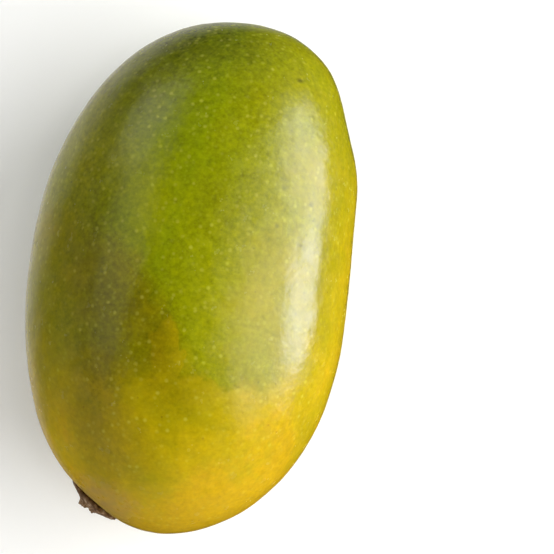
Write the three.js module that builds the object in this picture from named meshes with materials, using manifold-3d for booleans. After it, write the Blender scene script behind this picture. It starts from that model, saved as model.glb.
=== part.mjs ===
// A ripening mango as picked: one fleshy fruit with the stub of its woody stalk still on it.
// Millimetres, +Z up. The fruit lies on one cheek, with a small flat spot where it rests.
// +Y runs from the stalk end to the apex, and +X is the side with the blunt beak.
// The origin is on the resting plane, below the middle of the fruit's box.
import * as THREE from "three";
import { mergeVertices } from "three/addons/utils/BufferGeometryUtils.js";
import Module from "manifold-3d";

const wasm = await Module();
wasm.setup();

// Driving dimensions of the fruit
const LENGTH = 122; // stalk end to apex
const HALF_WIDTH = 38; // back to beak side, at mid length
const HALF_THICKNESS = 33.6; // cheek to cheek, at mid length
const REST_FLATTENING = 0.8; // how far the lower cheek is pressed flat where it rests
const FRUIT_SEGMENTS = 20; // facets along each of the twelve edges of the starting cube

// How the outline changes from the stalk end (t = -1) to the apex (t = 1).
// Each list holds what is added at t, t squared and t cubed.
const MIDLINE_CHANGE = [-1.8, 2.8, 3.7]; // lean, bow and hook of the line midway between back and beak
const WIDTH_CHANGE = [-2.3, 4.0, 5.3]; // taper, fullness of both ends, extra fullness of the apex
const THICKNESS_CHANGE = [-1.6, 2.4, 0]; // thinner towards the apex, with both ends rounded

// The stalk leaves the fruit beside its lower end, a little under the widest line
const STALK_PLACE = { t: -0.925, side: -1, drop: 0.06 };

// Soft local rises and hollows of the skin: place on the fruit, height and spread
const SWELLS = [
  { name: "beak", place: { t: 0.48, side: 1, drop: 0 }, height: 1.3, spread: 7 },
  { name: "sinus", place: { t: 0.66, side: 1, drop: 0 }, height: -0.9, spread: 7 },
  { name: "flank", place: { t: 0.06, side: 1, drop: 0 }, height: -0.7, spread: 15 },
  { name: "back", place: { t: 0.27, side: -1, drop: 0 }, height: 0.5, spread: 9 },
  { name: "shoulder", place: { t: -0.68, side: -1, drop: 0 }, height: 0.6, spread: 7 },
  { name: "stalk_basin", place: STALK_PLACE, height: -1.5, spread: 5 },
];

// Driving dimensions of the stalk stub, as radii and heights above its foot
const STUB_FOOT = { radius: 5.6, rim: 0.3 }; // the dried collar that spreads on the skin
const STUB_WAIST = { radius: 3, height: 1.1 }; // where the collar turns up into the stalk
const STUB_CROWN = { radius: 2.2, height: 3 }; // the broken end
const STUB_PITH = { radius: 0.8, depth: 0.35 }; // the sunk middle of the broken end
const STUB_CHAMFER = 0.35; // worn edge round the broken end
const STUB_SKEW = 0.2; // rise of the broken end per millimetre towards the fruit's back
const STUB_SIDES = 28;
const STUB_GAP = 0.3; // between the stub's foot and the skin

// Lobes of the stub's bark: how many there are, by what share they change the radius, and where they start
const STUB_LOBES = [
  { count: 3, share: 0.07, start: 0.6 },
  { count: 7, share: 0.04, start: 2 },
];

// A sum of powers of t with the given coefficients, from the first power up
function change(t, coefficients) {
  return coefficients.reduce((sum, c, i) => sum + c * t ** (i + 1), 0);
}

// The smooth body's point for a direction from its middle
function bodyPoint(direction) {
  const t = direction.y;
  return new THREE.Vector3(
    change(t, MIDLINE_CHANGE) + direction.x * (HALF_WIDTH + change(t, WIDTH_CHANGE)),
    (LENGTH / 2) * t,
    direction.z * (HALF_THICKNESS + change(t, THICKNESS_CHANGE)),
  );
}

// A direction on the widest line, or a little under it, at t along the length
function placeDirection({ t, side, drop }) {
  const across = Math.sqrt(1 - t * t);
  return new THREE.Vector3(side * Math.sqrt(across * across - drop * drop), t, -drop);
}

// The smooth body's outward normal for a direction, from two small steps across the surface
function bodyNormal(direction) {
  const STEP = 1e-3;
  const across = new THREE.Vector3(0, 0, 1).cross(direction).normalize();
  const along = direction.clone().cross(across);
  const stepped = (way, sign) =>
    bodyPoint(direction.clone().addScaledVector(way, sign * STEP).normalize());
  const chord = (way) => stepped(way, 1).sub(stepped(way, -1));
  return chord(across).cross(chord(along)).normalize();
}

const swells = SWELLS.map(({ place, height, spread }) => {
  const direction = placeDirection(place);
  return { centre: bodyPoint(direction), outward: bodyNormal(direction), height, spread };
});

// The fruit's own surface: the smooth body with its rises and hollows
function skinPoint(direction) {
  const point = bodyPoint(direction);
  const moved = point.clone();
  for (const { centre, outward, height, spread } of swells) {
    const share = Math.exp(-point.distanceToSquared(centre) / (2 * spread * spread));
    moved.addScaledVector(outward, height * share);
  }
  return moved;
}

// A geometry with one vertex for each corner, as a closed solid needs
function cornersOnly(geometry) {
  geometry.deleteAttribute("normal");
  geometry.deleteAttribute("uv");
  return mergeVertices(geometry);
}

// Moves each vertex of a geometry to where the given function puts it
function reshape(geometry, moved) {
  const position = geometry.getAttribute("position");
  const vertex = new THREE.Vector3();
  for (let i = 0; i < position.count; i++) {
    const to = moved(vertex.fromBufferAttribute(position, i));
    position.setXYZ(i, to.x, to.y, to.z);
  }
  geometry.computeVertexNormals();
  return geometry;
}

function solidOf(geometry) {
  return new wasm.Manifold(
    new wasm.Mesh({
      numProp: 3,
      vertProperties: geometry.getAttribute("position").array,
      triVerts: new Uint32Array(geometry.index.array),
    }),
  );
}

function geometryOf(solid) {
  const mesh = solid.getMesh();
  const geometry = new THREE.BufferGeometry();
  geometry.setAttribute("position", new THREE.BufferAttribute(mesh.vertProperties, 3));
  geometry.setIndex(new THREE.BufferAttribute(mesh.triVerts, 1));
  geometry.computeVertexNormals();
  return geometry;
}

// A cube blown up to the fruit's skin, so that no facets crowd together at a pole
function wholeFruit() {
  const n = FRUIT_SEGMENTS;
  const cube = cornersOnly(new THREE.BoxGeometry(2, 2, 2, n, n, n));
  const evenStep = (c) => Math.tan((c * Math.PI) / 4);
  return reshape(cube, (v) =>
    skinPoint(new THREE.Vector3(evenStep(v.x), evenStep(v.y), evenStep(v.z)).normalize()),
  );
}

// The lower cheek cut level by the plane that the fruit rests on
function restingFruit(whole, restZ) {
  const side = 2 * LENGTH;
  const block = cornersOnly(new THREE.BoxGeometry(side, side, side));
  block.translate(0, 0, restZ - side / 2);
  return geometryOf(solidOf(whole).subtract(solidOf(block)));
}

// The stub is turned about its own +Y: a flared foot, a waist of bark and a broken end with a sunk pith
function stalkStub() {
  const CURVE_STEPS = 4;
  const { radius: crown, height } = STUB_CROWN;
  const profile = new THREE.Path();
  profile.moveTo(0, 0);
  profile.lineTo(STUB_FOOT.radius, 0);
  profile.lineTo(STUB_FOOT.radius, STUB_FOOT.rim);
  profile.quadraticCurveTo(STUB_WAIST.radius, STUB_WAIST.height, crown, height - STUB_CHAMFER);
  profile.lineTo(crown - STUB_CHAMFER, height);
  profile.lineTo(STUB_PITH.radius, height);
  profile.lineTo(0, height - STUB_PITH.depth);
  const lathe = cornersOnly(new THREE.LatheGeometry(profile.getPoints(CURVE_STEPS), STUB_SIDES));
  return reshape(lathe, (v) => {
    const around = Math.atan2(v.z, v.x);
    const rise = v.y / height;
    const lobed = STUB_LOBES.reduce((sum, l) => sum + l.share * Math.sin(l.count * around + l.start), 0);
    const grown = 1 + rise * lobed;
    return new THREE.Vector3(v.x * grown, v.y + rise * STUB_SKEW * v.x, v.z * grown);
  });
}

const mango = new THREE.Group();

const whole = wholeFruit();
whole.computeBoundingBox();
const restZ = whole.boundingBox.min.z + REST_FLATTENING;
const fruit = new THREE.Mesh(
  restingFruit(whole, restZ),
  new THREE.MeshStandardMaterial({ color: "#a3a01a", roughness: 0.36, metalness: 0 }),
);
fruit.name = "fruit";
mango.add(fruit);

const stub = new THREE.Mesh(
  stalkStub(),
  new THREE.MeshStandardMaterial({ color: "#5a4434", roughness: 0.85, metalness: 0 }),
);
stub.name = "stalk_stub";
const stalkDirection = placeDirection(STALK_PLACE);
const stalkAxis = bodyNormal(stalkDirection);
stub.quaternion.setFromUnitVectors(new THREE.Vector3(0, 1, 0), stalkAxis);
stub.position.copy(skinPoint(stalkDirection)).addScaledVector(stalkAxis, STUB_GAP);
mango.add(stub);

// The resting plane is z = 0, with the middle of the box above the origin
const middle = whole.boundingBox.getCenter(new THREE.Vector3());
mango.position.set(-middle.x, -middle.y, -restZ);

export default mango;
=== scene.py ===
"""A ripening mango on a pale studio floor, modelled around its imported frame.

The frame gives the size and place of the fruit and of its stalk stub. Both are modelled again here as fine
meshes, in metres and in the frame's own axes: +Z up, +Y from the stalk end to the apex, +X to the beak side.
Patterns of the skin and the bark are given in millimetres.
"""

from __future__ import annotations

import logging
import math
from collections.abc import Callable, Mapping, Sequence
from dataclasses import dataclass
from enum import Enum
from functools import partial
from itertools import pairwise

import bpy
from mathutils import Matrix, Vector


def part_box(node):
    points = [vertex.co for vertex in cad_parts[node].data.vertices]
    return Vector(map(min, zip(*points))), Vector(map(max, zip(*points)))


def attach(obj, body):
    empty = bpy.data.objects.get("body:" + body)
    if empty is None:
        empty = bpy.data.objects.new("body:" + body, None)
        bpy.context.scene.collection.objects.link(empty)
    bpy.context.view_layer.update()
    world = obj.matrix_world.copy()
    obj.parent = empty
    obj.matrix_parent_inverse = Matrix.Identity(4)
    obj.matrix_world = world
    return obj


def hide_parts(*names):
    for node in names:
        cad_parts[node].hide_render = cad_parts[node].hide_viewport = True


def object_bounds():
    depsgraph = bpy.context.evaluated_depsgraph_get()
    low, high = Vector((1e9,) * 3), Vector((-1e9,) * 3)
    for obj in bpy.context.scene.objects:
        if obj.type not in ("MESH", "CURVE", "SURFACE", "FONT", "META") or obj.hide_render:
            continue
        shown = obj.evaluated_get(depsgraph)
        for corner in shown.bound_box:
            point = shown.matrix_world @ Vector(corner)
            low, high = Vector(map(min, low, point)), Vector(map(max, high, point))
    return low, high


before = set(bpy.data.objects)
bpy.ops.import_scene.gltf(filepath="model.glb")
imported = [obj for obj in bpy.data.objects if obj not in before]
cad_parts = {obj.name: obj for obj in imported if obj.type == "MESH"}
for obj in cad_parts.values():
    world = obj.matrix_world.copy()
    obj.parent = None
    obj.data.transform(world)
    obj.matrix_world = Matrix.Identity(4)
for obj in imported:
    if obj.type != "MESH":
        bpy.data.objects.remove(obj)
CAD_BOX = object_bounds()

log = logging.getLogger("mango")

MM = 0.001  # one millimetre in the scene's metres
NOISE_LOW, NOISE_HIGH = 0.3, 0.7  # nearly all values of a noise texture lie between these
WINDOW_TINT = "#e2e7ff"  # daylight, a little blue

Node = bpy.types.Node
Tree = bpy.types.NodeTree
Source = Node | bpy.types.NodeSocket  # what feeds an input
Pair = tuple[float, float]
Triple = tuple[float, float, float]
Stops = Sequence[tuple[float, str]]


def linear(hex_colour: str) -> tuple[float, float, float, float]:
    """Turns an sRGB hex colour to the linear one that sockets take.

    Args:
        hex_colour: six hex digits after a hash sign.

    Returns:
        Linear red, green and blue, and a full alpha.
    """
    channels = [int(hex_colour[i : i + 2], 16) / 255 for i in (1, 3, 5)]
    straight = [c / 12.92 if c <= 0.04045 else ((c + 0.055) / 1.055) ** 2.4 for c in channels]
    return (straight[0], straight[1], straight[2], 1.0)


def add_node(
    tree: Tree,
    kind: str,
    inputs: Mapping[str | int, object] | None = None,
    stops: Stops = (),
    **settings: object,
) -> Node:
    """Adds a shader node with its settings, and links or sets its inputs.

    Args:
        tree: the node tree that takes the node.
        kind: Blender's name of the node's type, without the ShaderNode that it starts with.
        inputs: for each input, by name or number, its value or what feeds it. A node feeds it from the first
            of its outputs that is in use. A Mix has its share at 0, its two numbers at 2 and 3, and its two
            colours at 6 and 7.
        stops: the places and hex colours of a colour ramp.
        **settings: the node's own properties.

    Returns:
        The new node.
    """
    node = tree.nodes.new(f"ShaderNode{kind}")
    for name, value in settings.items():
        setattr(node, name, value)
    for key, source in (inputs or {}).items():
        if isinstance(source, Node):
            source = next(output for output in source.outputs if output.enabled)
        if isinstance(source, bpy.types.NodeSocket):
            tree.links.new(source, node.inputs[key])
        else:
            node.inputs[key].default_value = source
    for number, (place, colour) in enumerate(stops):
        elements = node.color_ramp.elements
        stop = elements[number] if number < len(elements) else elements.new(place)
        stop.position = place
        stop.color = linear(colour)
    return node


def new_material(name: str) -> tuple[bpy.types.Material, Tree]:
    """Makes a material with no nodes.

    Args:
        name: the material's name.

    Returns:
        The material and its node tree.
    """
    material = bpy.data.materials.new(name)
    material.use_nodes = True
    material.node_tree.nodes.clear()
    return material, material.node_tree


def select_only(piece: bpy.types.Object) -> None:
    """Leaves one object selected and active.

    Args:
        piece: that object.
    """
    bpy.ops.object.select_all(action="DESELECT")
    piece.select_set(True)
    bpy.context.view_layer.objects.active = piece


def select_vertices(piece: bpy.types.Object, wanted: Callable[[Vector], bool]) -> None:
    """Enters edit mode with only some of a mesh's vertices selected.

    Args:
        piece: the object whose mesh is edited.
        wanted: says of a vertex's place whether it is selected.
    """
    bpy.ops.object.mode_set(mode="EDIT")
    bpy.ops.mesh.select_mode(type="VERT")
    bpy.ops.mesh.select_all(action="DESELECT")
    bpy.ops.object.mode_set(mode="OBJECT")
    for vertex in piece.data.vertices:
        vertex.select = wanted(vertex.co)
    bpy.ops.object.mode_set(mode="EDIT")


def add_modifier(piece: bpy.types.Object, kind: str, **settings: object) -> None:
    """Adds a modifier to an object and applies it.

    Args:
        piece: the object, which is left selected alone.
        kind: Blender's name of the modifier's type.
        **settings: the modifier's properties.
    """
    select_only(piece)
    modifier = piece.modifiers.new(kind.title(), kind)
    for name, value in settings.items():
        setattr(modifier, name, value)
    bpy.ops.object.modifier_apply(modifier=modifier.name)


def roughen(piece: bpy.types.Object, waves: Sequence[Pair], group: str = "") -> None:
    """Makes a surface uneven along its own normals, in soft waves.

    Args:
        piece: the object to change.
        waves: for each set of waves, their size along the surface and their full height, in metres.
        group: the vertex group that limits them, if any.
    """
    settings = {"texture_coords": "LOCAL", "mid_level": 0.5, "vertex_group": group}
    for grain, height in waves:
        texture = bpy.data.textures.new(f"{piece.name}_waves", "CLOUDS")
        texture.noise_scale = grain
        add_modifier(piece, "DISPLACE", texture=texture, strength=height, **settings)
        bpy.data.textures.remove(texture)


def weigh_vertices(piece: bpy.types.Object, name: str, weight: Callable[[Vector], float]) -> None:
    """Gives a mesh a vertex group.

    Args:
        piece: the object whose mesh is weighed.
        name: the group's name.
        weight: gives a vertex's weight from its place, and is held between 0 and 1.
    """
    group = piece.vertex_groups.new(name=name)
    for vertex in piece.data.vertices:
        group.add([vertex.index], min(max(weight(vertex.co), 0.0), 1.0), "REPLACE")


@dataclass(frozen=True)
class Patch:
    """A soft-edged oval patch, in millimetres, that adds to a value."""

    centre: Triple
    reach: Triple  # from the centre to the edge, along each axis
    amount: float  # in the middle

    def value(self, tree: Tree, place: Source) -> Node:
        """Adds the nodes that give the patch.

        Args:
            tree: the material's node tree.
            place: the place on the surface, in millimetres.

        Returns:
            The amount in the patch's middle, and less towards its edge.
        """
        oval = {"Vector": place, "Location": self.centre, "Scale": self.reach}
        local = add_node(tree, "Mapping", oval, vector_type="TEXTURE")
        away = add_node(tree, "VectorMath", {0: local}, operation="LENGTH")
        fading = {"Value": away, "From Max": 1.0, "To Min": self.amount, "To Max": 0.0}
        return add_node(tree, "MapRange", fading, interpolation_type="SMOOTHSTEP")


def add_patches(tree: Tree, value: Source, place: Source, patches: Sequence[Patch]) -> Source:
    """Adds the nodes that sum a value and some patches.

    Args:
        tree: the material's node tree.
        value: the value without them.
        place: the place on the surface, in millimetres.
        patches: the patches.

    Returns:
        The sum.
    """
    for patch in patches:
        value = add_node(tree, "Math", {0: value, 1: patch.value(tree, place)})
    return value


@dataclass(frozen=True)
class Dots:
    """Soft round dots scattered over the skin, in millimetres."""

    spacing: float
    radius: float
    share: float  # of the places where a dot could be, those that have one
    most: float  # how much the strongest dots show
    core: float = 0.2  # share of the radius that shows fully

    def value(self, tree: Tree, place: Source) -> Node:
        """Adds the nodes that give the dots.

        Args:
            tree: the material's node tree.
            place: the place on the skin, in millimetres.

        Returns:
            How much the dots show, which differs from dot to dot.
        """
        cells = add_node(tree, "TexVoronoi", {"Vector": place, "Scale": 1 / self.spacing})
        reach = self.radius / self.spacing
        fading = {"From Min": self.core * reach, "From Max": reach, "To Min": 1.0, "To Max": 0.0}
        distance = {"Value": cells.outputs["Distance"]}
        dot = add_node(tree, "MapRange", distance | fading, interpolation_type="SMOOTHSTEP")
        draw = add_node(tree, "SeparateColor", {0: cells.outputs["Color"]}).outputs["Red"]
        chosen = {"Value": draw, "From Min": 1 - self.share, "To Max": self.most}
        strength = add_node(tree, "MapRange", chosen)
        return add_node(tree, "Math", {0: dot, 1: strength}, operation="MULTIPLY")


@dataclass(frozen=True)
class MangoSkin:
    """Mango cuticle, grown and waxy, over a green that turns yellow from the stalk end upwards.

    The eye gets one soft gloss with mottled edges, a skin dotted with pale pores, and a green that holds out
    on the upper cheek in a tongue with a sharp lower edge. Sizes are in millimetres.
    """

    ripening: Stops = (
        (0.0, "#7a8503"),
        (0.25, "#838703"),
        (0.45, "#888603"),
        (0.6, "#8f8604"),
        (0.75, "#a29105"),
        (0.9, "#b69b08"),
        (1.0, "#c29c0b"),
    )
    pore_colour: str = "#c0c138"
    pores: Dots = Dots(spacing=1.0, radius=0.42, share=1.0, most=0.12)
    pore_fading: tuple[Pair, Pair] = ((0.5, 1.0), (0.95, 0.4))  # what shows at two stages of ripeness
    lenticel_colour: str = "#e2dc58"
    lenticels: Dots = Dots(spacing=1.8, radius=0.7, share=0.8, most=0.21)
    speck_colours: tuple[str, str] = ("#45430f", "#8a4a10")
    speck_reddening: Pair = (0.65, 0.95)  # the ripeness over which the first colour turns to the second
    specks: Dots = Dots(spacing=2.0, radius=0.38, share=0.28, most=0.5)
    marks: Sequence[Patch] = (  # the clearest brown marks, each in its own place
        Patch((17.5, 48.5, 45.0), (1.3, 0.8, 25.0), 0.8),
        Patch((18.1, 23.4, 59.0), (1.4, 1.2, 25.0), 0.4),
        Patch((18.0, 14.6, 61.0), (1.0, 0.9, 25.0), 0.5),
        Patch((24.8, 20.8, 55.0), (0.9, 0.9, 25.0), 0.5),
        Patch((24.1, 11.2, 58.0), (1.0, 0.8, 25.0), 0.5),
    )
    stain_colour: str = "#a28555"
    stain: Patch = Patch((-9.0, -53.0, 40.0), (15.0, 11.0, 20.0), 1.5)
    stain_grain: float = 2.5
    stain_span: Pair = (0.12, 0.75)  # between which the broken stain comes in
    stain_most: float = 0.55

    # The wax: its gloss, how much duller the stain and the pores are, and its fine unevenness
    ior: float = 1.48
    roughness: Pair = (0.15, 0.28)
    bloom_grain: float = 3.2
    stain_dulling: float = 0.4
    pore_dulling: float = 0.2
    wax_grain: float = 1.3
    wax_relief: float = 0.045
    pore_relief: float = 0.008

    # The green is deepest along a bent line down the cheek, and yellower towards the beak and the back
    green_bend: float = 0.15
    green_middle: float = -4.0
    green_span: Pair = (-7.0, 30.0)
    green_bow: float = 0.6
    green_most: float = 0.65
    back_span: Pair = (-6.0, -27.0)
    back_most: float = 0.4
    # Patches that make the green yellower. The first lies where the soft sheen beside the gloss falls and
    # paints that sheen in as paler skin; the others are yellower skin
    yellowing_and_painted_sheen: Sequence[Patch] = (
        Patch((16.0, 0.0, 60.0), (14.0, 26.0, 26.0), 0.09),
        Patch((38.0, 5.0, 33.0), (14.0, 45.0, 40.0), 0.19),
        Patch((-9.0, 12.0, 64.0), (11.0, 18.0, 24.0), 0.12),
    )

    # A broad soft change from the green to the half-turned skin of the back
    turning_way: Triple = (-0.25, -0.97, 0.0)
    turning_span: Pair = (-7.0, 4.0)
    turning_level: float = 0.58

    # The sharp edge of the ripe skin: below a level line, beside a slanted one, and round a tongue of green.
    # A finger of ripe skin reaches up past it, and the underside is ripe too.
    ripe_way: Triple = (0.25, -1.0, 0.0)
    ripe_offset: float = -25.5
    slant_way: Triple = (-0.785, -0.62, 0.0)
    slant_offset: float = -7.6
    slant_softness: float = 3.0
    slant_rounding: float = 4.0
    tongue_centre: Triple = (14.5, 9.0, 0.0)
    tongue_reach: Triple = (23.5, 32.0, 1000.0)
    tongue_rounding: float = 5.0
    finger: Patch = Patch((-1.8, -15.5, 62.0), (5.6, 15.0, 16.0), 30.0)
    underside: Patch = Patch((0.0, -20.0, 0.0), (70.0, 110.0, 34.0), 24.0)
    edge_grain: float = 6.0
    edge_stray: float = 7.0

    # Half the width of that edge at two places along X, and what the back adds to it
    edge_softness: tuple[Pair, Pair] = ((14.0, 0.9), (30.0, 6.0))
    back_softness: tuple[Pair, Pair] = ((-2.0, 0.0), (-10.0, 7.0))

    # The ripeness inside the edge at two places along Y, and what the beak side adds to it along X
    ripe_levels: tuple[Pair, Pair] = ((-24.0, 0.79), (-57.0, 1.0))
    beak_levels: tuple[Pair, Pair] = ((8.0, 0.0), (30.0, 0.08))
    ripe_changes: Sequence[Patch] = (
        Patch((4.0, -30.0, 62.0), (18.0, 22.0, 24.0), -0.05),
        Patch((-5.0, -14.0, 60.0), (13.0, 18.0, 24.0), -0.05),
        Patch((-5.0, -44.0, 54.0), (18.0, 15.0, 28.0), -0.1),
        Patch((25.0, -46.0, 42.0), (15.0, 14.0, 24.0), 0.1),
    )
    ripeness_mottles: Sequence[Pair] = ((12.0, 0.07), (2.2, 0.035))  # size and swing

    # How the skin darkens and lightens apart from its ripeness. Most of these patches are painted light and
    # shade, darkest down the left side that faces away from the lamps. They also hold some darker and
    # lighter skin of its own
    tones_and_painted_shading: Sequence[Patch] = (
        Patch((-13.0, -11.0, 60.0), (17.0, 22.0, 24.0), -0.37),
        Patch((-9.5, -7.0, 63.0), (7.0, 7.0, 20.0), -0.16),
        Patch((-22.0, 4.0, 56.0), (15.0, 28.0, 24.0), -0.3),
        Patch((-15.5, -27.0, 56.0), (11.0, 19.0, 24.0), -0.36),
        Patch((-18.0, 42.0, 48.0), (20.0, 30.0, 26.0), -0.35),
        Patch((-4.0, 55.0, 45.0), (24.0, 14.0, 24.0), -0.42),
        Patch((12.0, -6.0, 64.0), (15.0, 24.0, 22.0), 0.17),
        Patch((27.0, 0.0, 48.0), (10.0, 34.0, 26.0), -0.12),
        Patch((-3.0, -17.0, 62.0), (7.0, 14.0, 20.0), -0.36),
        Patch((3.0, -26.0, 62.0), (9.0, 9.0, 20.0), -0.22),
        Patch((-10.0, -41.0, 52.0), (15.0, 16.0, 24.0), -0.24),
        Patch((-20.0, -45.0, 38.0), (14.0, 16.0, 22.0), 0.32),
        Patch((6.0, 44.0, 55.0), (16.0, 20.0, 24.0), -0.12),
        Patch((5.0, 21.0, 66.0), (11.0, 16.0, 20.0), -0.12),
        Patch((-9.0, 12.0, 64.0), (10.0, 14.0, 20.0), 0.1),
        Patch((28.0, -32.0, 44.0), (10.0, 13.0, 20.0), -0.12),
    )
    mottle_grains: Pair = (1.0, 2.6)
    mottle_coarseness: float = 0.38
    mottle_swings: tuple[Pair, Pair] = ((0.45, 0.31), (0.65, 0.17))  # at two stages of ripeness

    def make(self) -> bpy.types.Material:
        """Makes the material.

        Returns:
            The skin's material.
        """
        material, tree = new_material("mango cuticle, grown and waxy")
        coordinate = add_node(tree, "TexCoord").outputs["Object"]
        place = add_node(tree, "VectorMath", {0: coordinate, "Scale": 1 / MM}, operation="SCALE")
        ripeness = self._ripeness(tree, place)
        pores = self.pores.value(tree, place)
        stain = self._stain(tree, place)
        specks = add_patches(tree, self.specks.value(tree, place), place, self.marks)
        (start, most), (end, least) = self.pore_fading
        fading = {"Value": ripeness, "From Min": start, "From Max": end, "To Min": most, "To Max": least}
        remaining = add_node(tree, "MapRange", fading)
        faded = add_node(tree, "Math", {0: pores, 1: remaining}, operation="MULTIPLY")
        start, end = self.speck_reddening
        redness = add_node(tree, "MapRange", {"Value": ripeness, "From Min": start, "From Max": end})
        green_speck, red_speck = (linear(shade) for shade in self.speck_colours)
        speck = add_node(tree, "Mix", {0: redness, 6: green_speck, 7: red_speck}, data_type="RGBA")
        ramp = add_node(tree, "ValToRGB", {"Fac": ripeness}, stops=self.ripening)
        # Painted light and shade, with the skin's own mottle, scale the ripeness colour
        tone_and_painted_shading = self._tone_and_painted_shading(tree, place, ripeness)
        colour = add_node(tree, "VectorMath", {0: ramp, "Scale": tone_and_painted_shading}, operation="SCALE")
        for amount, over in (
            (faded, linear(self.pore_colour)),
            (self.lenticels.value(tree, place), linear(self.lenticel_colour)),
            (specks, speck),
            (stain, linear(self.stain_colour)),
        ):
            colour = add_node(tree, "Mix", {0: amount, 6: colour, 7: over}, data_type="RGBA")
        surface = {
            "Base Color": colour,
            "IOR": self.ior,
            "Roughness": self._dullness(tree, place, pores, stain),
            "Normal": self._relief(tree, place, pores),
        }
        add_node(tree, "OutputMaterial", {"Surface": add_node(tree, "BsdfPrincipled", surface)})
        return material

    def _ripeness(self, tree: Tree, place: Source) -> Source:
        """Adds the nodes that say how far the skin has turned.

        Args:
            tree: the material's node tree.
            place: the place on the skin, in millimetres.

        Returns:
            0 where the skin is greenest, and 1 where it is ripest.
        """
        axes = add_node(tree, "SeparateXYZ", {0: place})
        graded = []
        for axis, ((start, low), (end, high)) in (
            ("X", self.edge_softness),
            ("X", self.back_softness),
            ("Y", self.ripe_levels),
            ("X", self.beak_levels),
        ):
            ends = {"From Min": start, "From Max": end, "To Min": low, "To Max": high}
            graded.append(add_node(tree, "MapRange", {"Value": axes.outputs[axis]} | ends))
        edge_softness, back_softness, ripe_level, beak_level = graded
        softness = add_node(tree, "Math", {0: edge_softness, 1: back_softness})
        inwards = add_node(tree, "Math", {0: softness, 1: -1.0}, operation="MULTIPLY")
        strayed = self._stray(tree, place)
        inside = {"Value": self._edge(tree, place, strayed), "From Min": inwards, "From Max": softness}
        turned = add_node(tree, "MapRange", inside, interpolation_type="SMOOTHSTEP")
        ripe = add_node(tree, "Math", {0: ripe_level, 1: beak_level})
        ripe = add_patches(tree, ripe, strayed, self.ripe_changes)
        level = add_node(tree, "Mix", {0: turned, 2: self._green(tree, place, strayed), 3: ripe})
        for grain, swing in self.ripeness_mottles:
            noise = add_node(tree, "TexNoise", {"Vector": place, "Scale": 1 / grain, "Detail": 2.0})
            ends = {"From Min": NOISE_LOW, "From Max": NOISE_HIGH, "To Min": -swing, "To Max": swing}
            mottle = add_node(tree, "MapRange", {"Value": noise} | ends)
            level = add_node(tree, "Math", {0: level, 1: mottle})
        return level

    def _green(self, tree: Tree, place: Source, strayed: Source) -> Node:
        """Adds the nodes that say how far the skin outside the ripe edge has turned.

        Args:
            tree: the material's node tree.
            place: the place on the skin, in millimetres.
            strayed: that place, moved a little.

        Returns:
            0 where that skin is greenest, and more where it is yellower.
        """
        axes = add_node(tree, "SeparateXYZ", {0: place})
        along = add_node(tree, "Math", {0: axes.outputs["Y"], 1: self.green_middle}, operation="SUBTRACT")
        apart = add_node(tree, "Math", {0: along}, operation="ABSOLUTE")
        bent = {0: apart, 1: -self.green_bend, 2: axes.outputs["X"]}
        beakwards = add_node(tree, "Math", bent, operation="MULTIPLY_ADD")
        start, end = self.green_span
        rising = add_node(tree, "MapRange", {"Value": beakwards, "From Min": start, "From Max": end})
        bowed = add_node(tree, "Math", {0: rising, 1: self.green_bow}, operation="POWER")
        start, end = self.back_span
        ends = {"From Min": start, "From Max": end, "To Max": self.back_most}
        backwards = add_node(tree, "MapRange", {"Value": axes.outputs["X"]} | ends)
        both_sides = {0: bowed, 1: self.green_most, 2: backwards}
        green = add_node(tree, "Math", both_sides, operation="MULTIPLY_ADD")
        # The first of these patches paints the sheen beside the gloss in as paler skin
        green = add_patches(tree, green, place, self.yellowing_and_painted_sheen)
        slant_span = (-self.slant_offset - self.slant_softness, -self.slant_offset + self.slant_softness)
        shares = []
        for way, (start, end) in ((self.turning_way, self.turning_span), (self.slant_way, slant_span)):
            towards = add_node(tree, "VectorMath", {0: strayed, 1: way}, operation="DOT_PRODUCT")
            ends = {"Value": towards, "From Min": start, "From Max": end}
            shares.append(add_node(tree, "MapRange", ends, interpolation_type="SMOOTHSTEP"))
        turning, behind = shares
        half_turned = add_node(tree, "Math", {0: turning, 1: behind}, operation="MULTIPLY")
        return add_node(tree, "Mix", {0: half_turned, 2: green, 3: self.turning_level})

    def _stray(self, tree: Tree, place: Source) -> Node:
        """Adds the nodes that make the edges of the colours wander.

        Args:
            tree: the material's node tree.
            place: the place on the skin, in millimetres.

        Returns:
            The place, moved a little.
        """
        pattern = {"Vector": place, "Scale": 1 / self.edge_grain, "Detail": 4.0, "Roughness": 0.6}
        noise = add_node(tree, "TexNoise", pattern).outputs["Color"]
        centred = add_node(tree, "VectorMath", {0: noise, 1: (0.5, 0.5, 0.5)}, operation="SUBTRACT")
        moved = {0: centred, 1: (self.edge_stray,) * 3, 2: place}
        return add_node(tree, "VectorMath", moved, operation="MULTIPLY_ADD")

    def _edge(self, tree: Tree, place: Source, strayed: Source) -> Source:
        """Adds the nodes that measure how far a place is inside the ripe skin.

        Args:
            tree: the material's node tree.
            place: the place on the skin, in millimetres.
            strayed: that place, moved a little.

        Returns:
            Millimetres from the edge of the ripe skin, less than 0 outside it.
        """
        downwards = add_node(tree, "VectorMath", {0: strayed, 1: self.ripe_way}, operation="DOT_PRODUCT")
        below = add_node(tree, "Math", {0: downwards, 1: self.ripe_offset})
        fingered = add_patches(tree, below, strayed, (self.finger,))
        across = add_node(tree, "VectorMath", {0: strayed, 1: self.slant_way}, operation="DOT_PRODUCT")
        slant = add_node(tree, "Math", {0: across, 1: self.slant_offset})
        corner = {0: fingered, 1: slant, 2: self.slant_rounding}
        back = add_node(tree, "Math", corner, operation="SMOOTH_MIN")
        oval = {"Vector": strayed, "Location": self.tongue_centre, "Scale": self.tongue_reach}
        local = add_node(tree, "Mapping", oval, vector_type="TEXTURE")
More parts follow.
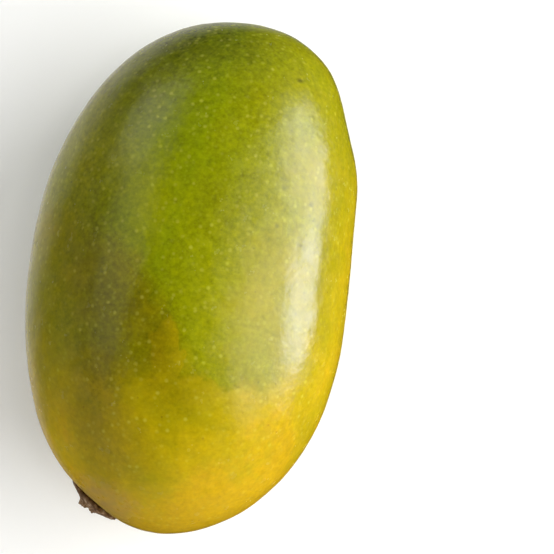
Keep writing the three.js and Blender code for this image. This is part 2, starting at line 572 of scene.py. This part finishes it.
        # Only the quarter of the oval towards the stalk end and the beak bounds the tongue
        far = 9.0
        lower = add_node(tree, "VectorMath", {0: local, 1: (far, 0.0, far)}, operation="MINIMUM")
        quarter = add_node(tree, "VectorMath", {0: lower, 1: (0.0, -far, -far)}, operation="MAXIMUM")
        away = add_node(tree, "VectorMath", {0: quarter}, operation="LENGTH")
        reach = (self.tongue_reach[0] + self.tongue_reach[1]) / 2
        tongue = add_node(tree, "Math", {0: away, 1: reach, 2: -reach}, operation="MULTIPLY_ADD")
        corner = {0: back, 1: tongue, 2: self.tongue_rounding}
        edge = add_node(tree, "Math", corner, operation="SMOOTH_MAX")
        return add_patches(tree, edge, place, (self.underside,))

    def _tone_and_painted_shading(self, tree: Tree, place: Source, ripeness: Source) -> Source:
        """Adds the nodes that darken and lighten the skin with painted light and shade, and with a mottle
        that calms down as the skin ripens.

        Args:
            tree: the material's node tree.
            place: the place on the skin, in millimetres.
            ripeness: how far the skin has turned.

        Returns:
            The factor of the skin's colour.
        """
        pattern = {"Vector": place, "Detail": 3.0, "Roughness": 0.6}
        fine, coarse = (
            add_node(tree, "TexNoise", pattern | {"Scale": 1 / grain}) for grain in self.mottle_grains
        )
        both = add_node(tree, "Mix", {0: self.mottle_coarseness, 2: fine, 3: coarse})
        ends = {"From Min": NOISE_LOW, "From Max": NOISE_HIGH, "To Min": -1.0, "To Max": 1.0}
        mottle = add_node(tree, "MapRange", {"Value": both} | ends)
        (start, lively), (end, calm) = self.mottle_swings
        ends = {"From Min": start, "From Max": end, "To Min": lively, "To Max": calm}
        swing = add_node(tree, "MapRange", {"Value": ripeness} | ends)
        tone_and_painted_shading = add_node(tree, "Math", {0: mottle, 1: swing, 2: 1.0}, operation="MULTIPLY_ADD")
        return add_patches(tree, tone_and_painted_shading, place, self.tones_and_painted_shading)

    def _stain(self, tree: Tree, place: Source) -> Node:
        """Adds the nodes of the dull brown stain that dried sap leaves round the stalk.

        Args:
            tree: the material's node tree.
            place: the place on the skin, in millimetres.

        Returns:
            How much of the stain's colour shows.
        """
        noise = add_node(tree, "TexNoise", {"Vector": place, "Scale": 1 / self.stain_grain, "Detail": 3.0})
        whole = self.stain.value(tree, place)
        broken = add_node(tree, "Math", {0: whole, 1: noise}, operation="MULTIPLY")
        start, end = self.stain_span
        ends = {"From Min": start, "From Max": end, "To Max": self.stain_most}
        return add_node(tree, "MapRange", {"Value": broken} | ends)

    def _dullness(self, tree: Tree, place: Source, pores: Source, stain: Source) -> Node:
        """Adds the nodes that say where the wax is duller.

        Args:
            tree: the material's node tree.
            place: the place on the skin, in millimetres.
            pores: how much the pores show.
            stain: how much the stain shows.

        Returns:
            The skin's roughness.
        """
        bloom = add_node(tree, "TexNoise", {"Vector": place, "Scale": 1 / self.bloom_grain, "Detail": 5.0})
        sharp, dull = self.roughness
        ends = {"From Min": NOISE_LOW, "From Max": NOISE_HIGH, "To Min": sharp, "To Max": dull}
        roughness = add_node(tree, "MapRange", {"Value": bloom} | ends)
        for amount, dulling in ((stain, self.stain_dulling), (pores, self.pore_dulling)):
            duller = {0: amount, 1: dulling, 2: roughness}
            roughness = add_node(tree, "Math", duller, operation="MULTIPLY_ADD")
        return roughness

    def _relief(self, tree: Tree, place: Source, pores: Source) -> Node:
        """Adds the nodes of the wax's fine unevenness.

        Args:
            tree: the material's node tree.
            place: the place on the skin, in millimetres.
            pores: how much the pores show.

        Returns:
            The skin's normal.
        """
        grain = add_node(tree, "TexNoise", {"Vector": place, "Scale": 1 / self.wax_grain, "Detail": 1.0})
        uneven = add_node(tree, "Bump", {"Height": grain, "Strength": 1.0, "Distance": self.wax_relief * MM})
        raised = {"Height": pores, "Strength": 1.0, "Distance": self.pore_relief * MM, "Normal": uneven}
        return add_node(tree, "Bump", raised)


@dataclass(frozen=True)
class StalkBark:
    """Dry stalk, broken off by hand: brown bark with paler ridges, and torn fibres on its end.

    The eye gets a dull brown that is darker in the cracks, paler along the ridges and a little greyer on the
    ragged end, with one reddish fleck, and painted shade darkens it towards the foot, where the collar meets
    the skin. Sizes are in millimetres.
    """

    bark: Stops = ((0.36, "#422a10"), (0.46, "#704d24"), (0.54, "#94714a"), (0.64, "#bba280"))
    torn: Stops = ((0.36, "#3a2614"), (0.5, "#80643f"), (0.64, "#b39a6c"))
    roughness: float = 0.82
    fibre_width: float = 0.5
    fibre_ring: float = 3.5  # radius at which the fibres have that width
    fibre_length: float = 1.8
    clump_grain: float = 1.3
    clump_share: float = 0.36
    relief: float = 0.25
    fleck_colour: str = "#a3604a"
    fleck: Patch = Patch((0.2, -3.2, 1.2), (0.9, 1.8, 0.6), 0.8)
    # Painted shade: the bark darkens to this share of its colour at the foot, where the collar lies under
    # the fruit's overhang
    painted_foot_shade: float = 0.75
    foot_share: float = 0.4  # of the height, over which that shade goes
    end_core: float = 0.8  # share of the broken end's radius that is torn all over
    end_rise: Pair = (0.6, 0.7)  # shares of the height between which bark gives way to torn fibres

    def make(self, place: Matrix, height: float, crown: float) -> bpy.types.Material:
        """Makes the material.

        Args:
            place: where the stub's foot is, and how it is turned.
            height: the stub's height, in metres.
            crown: the radius of its broken end, in metres.

        Returns:
            The bark's material.
        """
        material, tree = new_material("mango stalk bark, dried and broken")
        seat = {
            "Vector": add_node(tree, "TexCoord").outputs["Object"],
            "Location": place.to_translation(),
            "Rotation": place.to_euler(),
            "Scale": (MM, MM, MM),
        }
        local = add_node(tree, "Mapping", seat, vector_type="TEXTURE")
        drawn = self._drawn(tree, local)
        fibres = add_node(tree, "TexNoise", {"Vector": drawn, "Scale": 1.0, "Detail": 5.0, "Roughness": 0.6})
        clumps = add_node(tree, "TexNoise", {"Vector": local, "Scale": 1 / self.clump_grain, "Detail": 2.0})
        mixed = add_node(tree, "Mix", {0: self.clump_share, 2: fibres, 3: clumps})
        colour = add_node(tree, "ValToRGB", {"Fac": mixed}, stops=self.bark)
        torn = add_node(tree, "ValToRGB", {"Fac": mixed}, stops=self.torn)
        for amount, over in (
            (self._end(tree, local, height / MM, crown / MM), torn),
            (self.fleck.value(tree, local), linear(self.fleck_colour)),
        ):
            colour = add_node(tree, "Mix", {0: amount, 6: colour, 7: over}, data_type="RGBA")
        # Painted shade: the colour darkens towards the stub's foot
        rise = add_node(tree, "SeparateXYZ", {0: local}).outputs["Z"]
        ends = {"From Max": self.foot_share * height / MM, "To Min": self.painted_foot_shade, "To Max": 1.0}
        shade = add_node(tree, "MapRange", {"Value": rise} | ends)
        with_painted_foot_shade = add_node(tree, "VectorMath", {0: colour, "Scale": shade}, operation="SCALE")
        bump = add_node(tree, "Bump", {"Height": mixed, "Strength": 1.0, "Distance": self.relief * MM})
        surface = {"Base Color": with_painted_foot_shade, "Roughness": self.roughness, "Normal": bump}
        add_node(tree, "OutputMaterial", {"Surface": add_node(tree, "BsdfPrincipled", surface)})
        return material

    def _drawn(self, tree: Tree, local: Source) -> Node:
        """Adds the nodes that draw a pattern out along the fibres, in over the collar and up the stalk.

        Args:
            tree: the material's node tree.
            local: the place on the stub, in millimetres from its foot, with +Z along the stalk.

        Returns:
            The place in fibre widths round the stub and fibre lengths along it.
        """
        rise = add_node(tree, "SeparateXYZ", {0: local}).outputs["Z"]
        flat = add_node(tree, "VectorMath", {0: local, 1: (1.0, 1.0, 0.0)}, operation="MULTIPLY")
        outwards = add_node(tree, "VectorMath", {0: flat}, operation="NORMALIZE")
        away = add_node(tree, "VectorMath", {0: flat}, operation="LENGTH")
        upwards = add_node(tree, "Math", {0: rise, 1: away}, operation="SUBTRACT")
        along = add_node(tree, "CombineXYZ", {"Z": upwards})
        lengths = add_node(tree, "VectorMath", {0: along, "Scale": 1 / self.fibre_length}, operation="SCALE")
        widths = (self.fibre_ring / self.fibre_width,) * 3
        spread = {0: outwards, 1: widths, 2: lengths}
        return add_node(tree, "VectorMath", spread, operation="MULTIPLY_ADD")

    def _end(self, tree: Tree, local: Source, height: float, crown: float) -> Node:
        """Adds the nodes that tell the broken end from the bark.

        Args:
            tree: the material's node tree.
            local: the place on the stub, in millimetres from its foot, with +Z along the stalk.
            height: the stub's height.
            crown: the radius of its broken end.

        Returns:
            1 on the broken end, and 0 on the bark.
        """
        rise = add_node(tree, "SeparateXYZ", {0: local}).outputs["Z"]
        flat = add_node(tree, "VectorMath", {0: local, 1: (1.0, 1.0, 0.0)}, operation="MULTIPLY")
        away = add_node(tree, "VectorMath", {0: flat}, operation="LENGTH")
        ends = {"From Min": crown, "From Max": self.end_core * crown}
        inside = add_node(tree, "MapRange", {"Value": away} | ends)
        start, end = (share * height for share in self.end_rise)
        high = add_node(tree, "MapRange", {"Value": rise, "From Min": start, "From Max": end})
        return add_node(tree, "Math", {0: inside, 1: high}, operation="MULTIPLY")


@dataclass(frozen=True)
class StudioPaper:
    """Uncoated white paper, rolled smooth and lit from behind: a bright even white with no gloss."""

    shade: str = "#d8d8d6"
    roughness: float = 0.9
    glow: float = 0.55
    contact_reach: float = 22 * MM

    def make(self) -> bpy.types.Material:
        """Makes the material, whose glow dies away close under the fruit in a painted contact shadow.

        Returns:
            The paper's material.
        """
        material, tree = new_material("white paper, uncoated")
        # Painted contact shadow: the glow is dimmed where the fruit covers the paper closely
        painted_contact_shadow = add_node(tree, "AmbientOcclusion", {"Distance": self.contact_reach}, samples=4)
        glow = add_node(tree, "Math", {0: painted_contact_shadow.outputs["AO"], 1: self.glow}, operation="MULTIPLY")
        surface = {
            "Base Color": linear(self.shade),
            "Roughness": self.roughness,
            "Emission Color": linear(self.shade),
            "Emission Strength": glow,
        }
        add_node(tree, "OutputMaterial", {"Surface": add_node(tree, "BsdfPrincipled", surface)})
        return material


@dataclass
class Fruit:
    """The whole mango: one smooth body with a beak, a stalk basin and a small flat resting spot."""

    node: str = "fruit"
    slot: str = "mango_skin"
    cuts: int = 24  # along each edge of the starting cube
    fine_levels: int = 2
    waves: Sequence[Pair] = ((13 * MM, 0.34 * MM), (4.5 * MM, 0.13 * MM))  # size along the skin, and height
    floor_band: float = 4 * MM  # over which the waves grow, from half of it up
    pressed_band: float = 0.15 * MM  # what is lower than this is pressed flat
    gauge_weld: float = 0.01 * MM
    gauge_levels: int = 2
    finish: MangoSkin = MangoSkin()

    def build(self) -> bpy.types.Object:
        """Models the fruit's skin.

        Returns:
            The skin's object.
        """
        gauge = self._gauge()
        low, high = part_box(self.node)
        bpy.ops.object.select_all(action="DESELECT")
        bpy.ops.mesh.primitive_cube_add(size=2, location=(low + high) / 2)
        skin = bpy.context.object
        skin.name = skin.data.name = "mango_fruit"
        bpy.ops.object.mode_set(mode="EDIT")
        bpy.ops.mesh.subdivide(number_cuts=self.cuts)
        bpy.ops.object.mode_set(mode="OBJECT")
        add_modifier(skin, "CAST", cast_type="SPHERE", factor=1.0, radius=1.0)
        skin.scale = (high - low) / 2
        bpy.ops.object.transform_apply(location=True, rotation=True, scale=True)
        add_modifier(skin, "SHRINKWRAP", target=gauge, wrap_method="NEAREST_SURFACEPOINT")
        add_modifier(skin, "SMOOTH", factor=0.5, iterations=2)
        add_modifier(skin, "SUBSURF", levels=self.fine_levels, render_levels=self.fine_levels)
        self._make_uneven(skin)
        self._press_flat(skin)
        bpy.data.objects.remove(gauge)
        select_only(skin)
        bpy.ops.object.shade_smooth()
        return skin

    def _gauge(self) -> bpy.types.Object:
        """Copies the frame's fruit, with its facets merged and rounded, for the skin to be drawn onto.

        Returns:
            The copy's object.
        """
        select_only(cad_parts[self.node])
        bpy.ops.object.duplicate()
        gauge = bpy.context.object
        bpy.ops.object.mode_set(mode="EDIT")
        bpy.ops.mesh.select_all(action="SELECT")
        bpy.ops.mesh.remove_doubles(threshold=self.gauge_weld)
        bpy.ops.mesh.tris_convert_to_quads()
        bpy.ops.object.mode_set(mode="OBJECT")
        add_modifier(gauge, "SUBSURF", levels=self.gauge_levels, render_levels=self.gauge_levels)
        return gauge

    def _make_uneven(self, skin: bpy.types.Object) -> None:
        """Gives the skin the low waves and ripples of a grown fruit, fading out towards the floor.

        Args:
            skin: the skin's object.
        """
        weigh_vertices(skin, "above_floor", lambda place: place.z / self.floor_band - 0.5)
        roughen(skin, self.waves, "above_floor")
        skin.vertex_groups.clear()

    def _press_flat(self, skin: bpy.types.Object) -> None:
        """Presses the lowest skin level with the surface that the fruit rests on.

        Args:
            skin: the skin's object.
        """
        select_vertices(skin, lambda place: place.z < self.pressed_band)
        bpy.ops.transform.resize(value=(1, 1, 0), center_override=(0, 0, 0))
        bpy.ops.object.mode_set(mode="OBJECT")

    def dress(self, skin: bpy.types.Object) -> None:
        """Gives the skin its finish and its place in the frame.

        Args:
            skin: the skin's object.
        """
        skin.data.materials.append(self.finish.make())
        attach(skin, "root")
        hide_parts(self.node)


@dataclass(frozen=True)
class Lobe:
    """One wave round the stub: how many lobes it makes, by what share, and where it starts."""

    count: int
    share: float
    start: float

    def at(self, angle: float) -> float:
        """Gives the wave's share at an angle round the stub, in radians."""
        return self.share * math.sin(self.count * angle + self.start)


@dataclass
class StalkStub:
    """The stub of the stalk: a dried collar that spreads on the skin, a short waist and a ragged end."""

    node: str = "stalk_stub"
    slot: str = "stalk_wood"
    sides: int = 44
    fine_levels: int = 2
    spread: float = 1.32
    # The dried edge spreads past the foot. Each ring has its reach and its rise, as shares of the foot's
    # radius and of the height.
    rings: Sequence[Pair] = (
        (1.20, 0.16),
        (0.98, 0.36),
        (0.77, 0.48),
        (0.60, 0.58),
        (0.47, 0.70),
        (0.41, 0.83),
        (0.37, 0.92),
    )
    # The broken end: widths as shares of the foot's radius, and drops as shares of the height
    rim_width: float = 0.09
    rim_drop: float = 0.08
    pith_inset: float = 0.13
    pith_drop: float = 0.14
    skew: float = 0.2  # rise of the broken end per length towards the fruit's back
    ridges: Sequence[Lobe] = (
        Lobe(3, 0.05, 0.6),
        Lobe(7, 0.05, 2.0),
        Lobe(13, 0.06, 0.4),
        Lobe(17, 0.04, 4.1),
    )
    tears: Sequence[Lobe] = (Lobe(2, 0.05, 1.0), Lobe(5, 0.07, 0.2), Lobe(11, 0.06, 2.5))
    foot_edge: float = 0.01  # share of the height, below which the foot keeps its outline
    torn_above: float = 0.75  # share of the height, above which the end is torn
    waves: Sequence[Pair] = ((0.9 * MM, 0.3 * MM), (0.3 * MM, 0.14 * MM))  # size along the bark, and height
    # How firmly the foot follows the skin at height 0, and how much that falls over the whole height
    foot_hold: float = 1.1
    foot_fall: float = 10.0
    seat_depth: float = 0.2 * MM  # how deep the foot sits in the skin
    same_way: float = 0.999  # least cosine between normals that face the same way
    finish: StalkBark = StalkBark()

    def build(self, skin: bpy.types.Object) -> bpy.types.Object:
        """Models the stub on the skin.

        Args:
            skin: the fruit's skin, which the stub's foot follows.

        Returns:
            The stub's object.
        """
        place, radius, height = self._measure()
        bpy.ops.object.select_all(action="DESELECT")
        bpy.ops.mesh.primitive_circle_add(vertices=self.sides, radius=self.spread * radius, fill_type="NGON")
        stub = bpy.context.object
        stub.name = stub.data.name = "mango_stalk_stub"
        self._raise(radius, height)
        self._tear(stub, radius, height)
        add_modifier(stub, "SUBSURF", levels=self.fine_levels, render_levels=self.fine_levels)
        roughen(stub, self.waves)
        weigh_vertices(stub, "foot", lambda spot: self.foot_hold - self.foot_fall * spot.z / height)
        stub.matrix_world = place
        select_only(stub)
        bpy.ops.object.transform_apply(location=True, rotation=True, scale=True)
        add_modifier(
            stub,
            "SHRINKWRAP",
            target=skin,
            wrap_method="NEAREST_SURFACEPOINT",
            wrap_mode="ON_SURFACE",
            offset=-self.seat_depth,
            vertex_group="foot",
        )
        stub.vertex_groups.clear()
        select_only(stub)
        bpy.ops.object.shade_smooth()
        return stub

    def _measure(self) -> tuple[Matrix, float, float]:
        """Reads the place and the size of the frame's stub from its flat foot.

        Returns:
            The foot's place, with +Z along the stalk and +X to the fruit's back, its radius, and the stub's
            height.
        """
        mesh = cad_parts[self.node].data
        areas: dict[tuple[float, ...], float] = {}
        for face in mesh.polygons:
            way = tuple(round(part, 2) for part in face.normal)
            areas[way] = areas.get(way, 0.0) + face.area
        foot_way = Vector(max(areas, key=areas.get))
        least = self.same_way * foot_way.length
        faces = [face for face in mesh.polygons if face.normal.dot(foot_way) > least]
        axis = -sum((face.normal * face.area for face in faces), Vector()).normalized()
        area = sum(face.area for face in faces)
        foot = sum((face.center * face.area for face in faces), Vector()) / area
        height = max((vertex.co - foot).dot(axis) for vertex in mesh.vertices)
        back = Vector((-1, 0, 0))
        across = (back - axis * back.dot(axis)).normalized()
        turn = Matrix((across, axis.cross(across), axis)).transposed()
        return Matrix.Translation(foot) @ turn.to_4x4(), math.sqrt(area / math.pi), height

    def _raise(self, radius: float, height: float) -> None:
        """Extrudes the foot ring by ring, and sinks the broken end inside its rim.

        Args:
            radius: the foot's radius.
            height: the stub's height.
        """
        bpy.ops.object.mode_set(mode="EDIT")
        bpy.ops.mesh.select_all(action="SELECT")
        for (reach, rise), (next_reach, next_rise) in pairwise(((self.spread, 0.0), *self.rings)):
            step = (next_rise - rise) * height
            bpy.ops.mesh.extrude_region_move(TRANSFORM_OT_translate={"value": (0, 0, step)})
            share = next_reach / reach
            bpy.ops.transform.resize(value=(share, share, 1), center_override=(0, 0, 0))
        for inset, drop in ((self.rim_width, self.rim_drop), (self.pith_inset, self.pith_drop)):
            bpy.ops.mesh.inset(thickness=inset * radius)
            bpy.ops.transform.translate(value=(0, 0, -drop * height))
        bpy.ops.mesh.select_all(action="SELECT")
        bpy.ops.mesh.normals_make_consistent(inside=False)
        bpy.ops.object.mode_set(mode="OBJECT")

    def _tear(self, stub: bpy.types.Object, radius: float, height: float) -> None:
        """Gives the stub its ridges and the slanted, ragged edge of its broken end.

        Args:
            stub: the stub's object.
            radius: the foot's radius.
            height: the stub's height.
        """
        crown = self.rings[-1][0] * radius
        for column in range(self.sides):
            angle = math.tau * column / self.sides
            swell = 1 + sum(lobe.at(angle) for lobe in self.ridges)
            select_vertices(stub, partial(self._in_column, angle, self.foot_edge * height))
            bpy.ops.transform.resize(value=(swell, swell, 1), center_override=(0, 0, 0))
            bpy.ops.object.mode_set(mode="OBJECT")
            tear = sum(lobe.at(angle) for lobe in self.tears) * height
            slant = self.skew * crown * math.cos(angle)
            select_vertices(stub, partial(self._in_column, angle, self.torn_above * height))
            bpy.ops.transform.translate(value=(0, 0, tear + slant))
            bpy.ops.object.mode_set(mode="OBJECT")

    def _in_column(self, angle: float, above: float, spot: Vector) -> bool:
        """Says whether a vertex is in the column at an angle round the stub, and higher than a height."""
        turned = math.remainder(math.atan2(spot.y, spot.x) - angle, math.tau)
        return abs(turned) < math.pi / self.sides and spot.z > above

    def dress(self, stub: bpy.types.Object) -> None:
        """Gives the stub its finish and its place in the frame.

        Args:
            stub: the stub's object.
        """
        place, radius, height = self._measure()
        stub.data.materials.append(self.finish.make(place, height, self.rings[-1][0] * radius))
        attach(stub, "root")
        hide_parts(self.node)


class LightUse(Enum):
    """What a light is for: to be mirrored in the skin, or to light it without being mirrored."""

    GLOSS = "gloss"
    FILL = "fill"


@dataclass(frozen=True)
class Panel:
    """A soft light, given by where it stands and how large and bright it looks from the fruit."""

    name: str
    azimuth: float  # degrees from +X towards +Y
    elevation: float  # degrees above the fruit's middle
    width: float  # degrees
    height: float  # degrees
    radiance: float
    use: LightUse
    distance: float = 0.8  # metres
    tint: str = "#ffffff"
    core: float = 1.0  # share of its reach that is fully bright; the rest fades out

    def build(self, aim: Vector) -> None:
        """Makes the light.

        Args:
            aim: the point that it faces.
        """
        azimuth, elevation = math.radians(self.azimuth), math.radians(self.elevation)
        level = math.cos(elevation)
        away = Vector((level * math.cos(azimuth), level * math.sin(azimuth), math.sin(elevation)))
        light = bpy.data.lights.new(self.name, "AREA")
        light.shape = "ELLIPSE"
        light.size = 2 * self.distance * math.tan(math.radians(self.width) / 2)
        light.size_y = 2 * self.distance * math.tan(math.radians(self.height) / 2)
        area = math.pi / 4 * light.size * light.size_y
        light.energy = self.radiance * math.pi * area
        light.color = linear(self.tint)[:3]
        if self.core < 1:
            self._soften(light)
        lamp = bpy.data.objects.new(self.name, light)
        lamp.location = aim + self.distance * away
        lamp.rotation_euler = (-away).to_track_quat("-Z", "Y").to_euler()
        lamp.visible_camera = False
        lamp.visible_glossy = self.use is LightUse.GLOSS
        lamp.visible_diffuse = self.use is LightUse.FILL
        bpy.context.collection.objects.link(lamp)

    def _soften(self, light: bpy.types.AreaLight) -> None:
        """Fades the light out towards its edge, as cloth in a frame does.

        Args:
            light: the light's data.
        """
        light.use_nodes = True
        tree = light.node_tree
        spot = add_node(tree, "NewGeometry").outputs["Parametric"]
        disc = {"Vector": spot, "Location": (0.5, 0.5, 0.0), "Scale": (0.5, 0.5, 1.0)}
        local = add_node(tree, "Mapping", disc, vector_type="TEXTURE")
        away = add_node(tree, "VectorMath", {0: local}, operation="LENGTH")
        fading = {"Value": away, "From Min": self.core, "From Max": 1.0, "To Min": 1.0, "To Max": 0.0}
        fade = add_node(tree, "MapRange", fading, interpolation_type="SMOOTHSTEP")
        tree.links.new(fade.outputs["Result"], tree.nodes["Emission"].inputs["Strength"])


@dataclass
class Studio:
    """A sheet of white paper that curves up into its own backdrop, and the soft lights round the fruit.

    Sizes are in metres.
    """

    floor_radius: float = 1.3
    floor_sides: int = 160
    floor_rim: float = 0.05  # share of the radius
    cove_radius: float = 0.5
    cove_steps: int = 12
    wall_height: float = 0.9
    pale_side: Triple = (-0.52, 0.3, -0.8)
    pale_shade: str = "#fffaf0"
    pale_span: Pair = (0.7, 0.97)  # cosines from the pale side at which it begins and is full
    surround: Pair = (0.012, 0.75)  # strength away from the pale side, and on it
    paper: StudioPaper = StudioPaper()
    panels: Sequence[Panel] = (
        Panel("near_window", 1, 9, 30, 36, 8.2, LightUse.GLOSS, tint=WINDOW_TINT, core=0.5),
        Panel("middle_window", 18, 1, 26, 30, 4.2, LightUse.GLOSS, tint=WINDOW_TINT, core=0.5),
        Panel("far_window", 36, 18, 40, 46, 5.2, LightUse.GLOSS, tint=WINDOW_TINT, core=0.1),
        Panel("sheer", 10, 8, 72, 47, 3.0, LightUse.GLOSS, tint=WINDOW_TINT, core=0.5),
        Panel("curtain", -2, 33, 74, 62, 2.6, LightUse.GLOSS, tint=WINDOW_TINT, core=0.1),
        Panel("left_card", 136, 22, 48, 46, 1.5, LightUse.GLOSS, core=0.2),
        Panel("left_wall", 172, 44, 72, 36, 0.6, LightUse.GLOSS, core=0.5),
        Panel("sky", 9, 40, 70, 60, 5.0, LightUse.FILL, 1.3),
        Panel("low_card", 212, 25, 70, 40, 0.65, LightUse.FILL),
    )

    def build(self) -> None:
        """Makes the paper, the lights and the dim surround."""
        low, high = CAD_BOX
        for panel in self.panels:
            panel.build((low + high) / 2)
        self._lay_paper()
        self._surround()
        bpy.context.scene.view_settings.view_transform = "Standard"

    def _lay_paper(self) -> None:
        """Models the floor as a disc whose edge is drawn up in a cove and a wall."""
        bpy.ops.object.select_all(action="DESELECT")
        disc = {"vertices": self.floor_sides, "radius": self.floor_radius, "fill_type": "NGON"}
        bpy.ops.mesh.primitive_circle_add(**disc)
        floor = bpy.context.object
        floor.name = floor.data.name = "studio_paper"
        bpy.ops.object.mode_set(mode="EDIT")
        bpy.ops.mesh.select_all(action="SELECT")
        bpy.ops.mesh.inset(thickness=self.floor_rim * self.floor_radius)
        bpy.ops.mesh.select_all(action="SELECT")
        bpy.ops.mesh.region_to_loop()
        turns = [math.pi / 2 * step / self.cove_steps for step in range(self.cove_steps + 1)]
        profile = [
            (self.floor_radius + self.cove_radius * math.sin(turn), self.cove_radius * (1 - math.cos(turn)))
            for turn in turns
        ]
        profile.append((profile[-1][0], self.wall_height))
        for (reach, rise), (next_reach, next_rise) in pairwise(profile):
            bpy.ops.mesh.extrude_edges_move(TRANSFORM_OT_translate={"value": (0, 0, next_rise - rise)})
            share = next_reach / reach
            bpy.ops.transform.resize(value=(share, share, 1), center_override=(0, 0, 0))
        bpy.ops.object.mode_set(mode="OBJECT")
        bpy.ops.object.shade_smooth()
        floor.data.materials.append(self.paper.make())
        floor.visible_glossy = False

    def _surround(self) -> None:
        """Makes the world: nearly dark, with a warm pale side that only the skin's edge mirrors."""
        world = bpy.data.worlds.new("dim_surround")
        world.use_nodes = True
        tree = world.node_tree
        direction = add_node(tree, "TexCoord").outputs["Generated"]
        pale_way = Vector(self.pale_side).normalized()
        facing = add_node(tree, "VectorMath", {0: direction, 1: pale_way}, operation="DOT_PRODUCT")
        (start, end), (dim, pale) = self.pale_span, self.surround
        ends = {"From Min": start, "From Max": end, "To Min": dim, "To Max": pale}
        strength = add_node(tree, "MapRange", {"Value": facing} | ends, interpolation_type="SMOOTHSTEP")
        background = tree.nodes["Background"]
        tree.links.new(strength.outputs["Result"], background.inputs["Strength"])
        background.inputs["Color"].default_value = linear(self.pale_shade)
        bpy.context.scene.world = world


@dataclass(frozen=True)
class PhotoCamera:
    """The camera, which looks straight down at the fruit."""

    aim: Triple = (20.0 * MM, 3.3 * MM, 33 * MM)
    distance: float = 700 * MM
    frame_width: float = 129.9 * MM
    sensor_width: float = 36.0  # millimetres, as the camera's own settings are
    roll: float = math.radians(10)

    def build(self) -> None:
        """Makes the camera and sets it as the scene's."""
        data = bpy.data.cameras.new("photo_camera")
        data.sensor_width = self.sensor_width
        data.lens = self.sensor_width * self.distance / self.frame_width
        camera = bpy.data.objects.new("photo_camera", data)
        camera.location = Vector(self.aim) + Vector((0, 0, self.distance))
        camera.rotation_euler = (0, 0, self.roll)
        bpy.context.collection.objects.link(camera)
        bpy.context.scene.camera = camera


def main() -> None:
    """Builds the pieces in order and reports each one."""
    logging.basicConfig(level=logging.INFO, format="%(name)s: %(message)s")
    fruit = Fruit()
    skin = fruit.build()
    fruit.dress(skin)
    stalk = StalkStub()
    stub = stalk.build(skin)
    stalk.dress(stub)
    for piece in (skin, stub):
        log.info("%s: %d faces", piece.name, len(piece.data.polygons))
    Studio().build()
    PhotoCamera().build()


if __name__ == "__main__":
    main()
